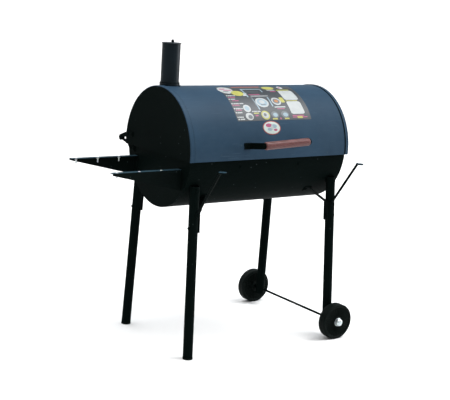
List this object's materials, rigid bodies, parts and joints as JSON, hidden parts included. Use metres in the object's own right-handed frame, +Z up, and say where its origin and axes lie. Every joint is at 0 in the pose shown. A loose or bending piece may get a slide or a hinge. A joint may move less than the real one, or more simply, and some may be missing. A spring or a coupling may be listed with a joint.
{
  "type": "barrel charcoal smoker grill",
  "caption": "Horizontal barrel charcoal smoker grill with a hinged lid, smokestack, wooden handle, splayed tube legs, wheels and shelf supports.",
  "frame": {"origin": "centre of the footprint of the object's box, on the floor", "axes": "+X along the barrel from the smokestack end to the wheel end, +Y from the front with the handle to the hinges at the back, +Z up"},
  "size_m": [1.0874, 0.712, 1.1951],
  "materials": {
    "lid_paint": "semi-gloss blue-black heat-resistant enamel",
    "black_paint": "satin black heat-resistant paint",
    "zinc_steel": "zinc-plated",
    "hub_cap_metal": "bright zinc-plated, smooth",
    "grate_steel": "bare steel, heat-darkened",
    "cast_iron": "seasoned, rough cast",
    "black_plastic": "moulded, satin",
    "stained_wood": "red-brown stain, satin lacquer",
    "label_paper": "printed gloss sticker",
    "badge_paper": "printed gloss sticker"
  },
  "bodies": {
    "stand": {"axle": "black_paint", "axle_spacers": "black_paint", "body_ear_bolts": "black_paint", "body_end_left": "black_paint", "body_end_right": "black_paint", "body_hinge_ear_left": "black_paint", "body_hinge_ear_right": "black_paint", "body_shell": "black_paint", "brace_bolts": "black_paint", "bracket_bolts": "black_paint", "foot_caps": "black_plastic", "grate_rail_back": "grate_steel", "grate_rail_front": "grate_steel", "hinge_bolts": "black_paint", "hub_caps": "hub_cap_metal", "leg_back_left": "black_paint", "leg_back_right": "black_paint", "leg_bolts": "black_paint", "leg_brace_back_left": "black_paint", "leg_brace_back_right": "black_paint", "leg_brace_front_left": "black_paint", "leg_brace_front_right": "black_paint", "leg_front_left": "black_paint", "leg_front_right": "black_paint", "rail_bolts": "black_paint", "shelf_bracket_back": "black_paint", "shelf_bracket_front": "black_paint", "shelf_strut_left": "black_paint", "shelf_strut_right": "black_paint", "shutter_rivet": "zinc_steel", "slat_bolts": "zinc_steel", "strut_bolts": "black_paint"},
    "lid": {"lid_shell": "lid_paint", "lid_end_left": "black_paint", "lid_end_right": "black_paint", "lid_hinge_ear_left": "black_paint", "lid_hinge_ear_right": "black_paint", "lid_ear_bolts": "black_paint", "stack_tube": "black_paint", "stack_collar": "black_paint", "stack_flange": "black_paint", "stack_rivets": "black_paint", "cap_bolt": "black_paint", "handle_grip": "stained_wood", "handle_bracket_left": "black_paint", "handle_bracket_right": "black_paint", "handle_rod": "black_paint", "handle_bolts": "black_paint", "lid_label": "label_paper", "lid_badge": "badge_paper"},
    "stack_cap": {"stack_cap": "black_paint"},
    "wheel_front": {"wheel_front": "black_plastic"},
    "wheel_back": {"wheel_back": "black_plastic"},
    "air_shutter": {"air_shutter": "black_paint"},
    "fire_grate": {"fire_grate": "grate_steel"},
    "cooking_grate_1": {"cooking_grate_1": "cast_iron"},
    "cooking_grate_2": {"cooking_grate_2": "cast_iron"},
    "cooking_grate_3": {"cooking_grate_3": "cast_iron"},
    "cooking_grate_4": {"cooking_grate_4": "cast_iron"}
  },
  "joints": [
    {"name": "lid_hinge", "type": "hinge", "parent": "stand", "child": "lid", "pos_m": [0.12425, 0.31, 0.783], "axis": [-1, 0, 0], "range_deg": [0, 95]},
    {"name": "stack_cap_swing", "type": "hinge", "parent": "lid", "child": "stack_cap", "pos_m": [-0.18075, 0.079, 1.183], "axis": [0, 0, 1], "range_deg": [0, 110]},
    {"name": "wheel_front_spin", "type": "hinge", "parent": "stand", "child": "wheel_front", "pos_m": [0.46975, -0.254, 0.074], "axis": [0, 1, 0], "continuous": true},
    {"name": "wheel_back_spin", "type": "hinge", "parent": "stand", "child": "wheel_back", "pos_m": [0.46975, 0.318, 0.074], "axis": [0, 1, 0], "continuous": true},
    {"name": "air_shutter_turn", "type": "hinge", "parent": "stand", "child": "air_shutter", "pos_m": [0.50025, 0.032, 0.655], "axis": [1, 0, 0], "range_deg": [0, 60]},
    {"name": "fire_grate_lift", "type": "slide", "parent": "stand", "child": "fire_grate", "axis": [0, 0, 1], "range_m": [0, 0.05]},
    {"name": "cooking_grate_1_lift", "type": "slide", "parent": "stand", "child": "cooking_grate_1", "axis": [0, 0, 1], "range_m": [0, 0.04]},
    {"name": "cooking_grate_2_lift", "type": "slide", "parent": "stand", "child": "cooking_grate_2", "axis": [0, 0, 1], "range_m": [0, 0.04]},
    {"name": "cooking_grate_3_lift", "type": "slide", "parent": "stand", "child": "cooking_grate_3", "axis": [0, 0, 1], "range_m": [0, 0.04]},
    {"name": "cooking_grate_4_lift", "type": "slide", "parent": "stand", "child": "cooking_grate_4", "axis": [0, 0, 1], "range_m": [0, 0.04]}
  ]
}
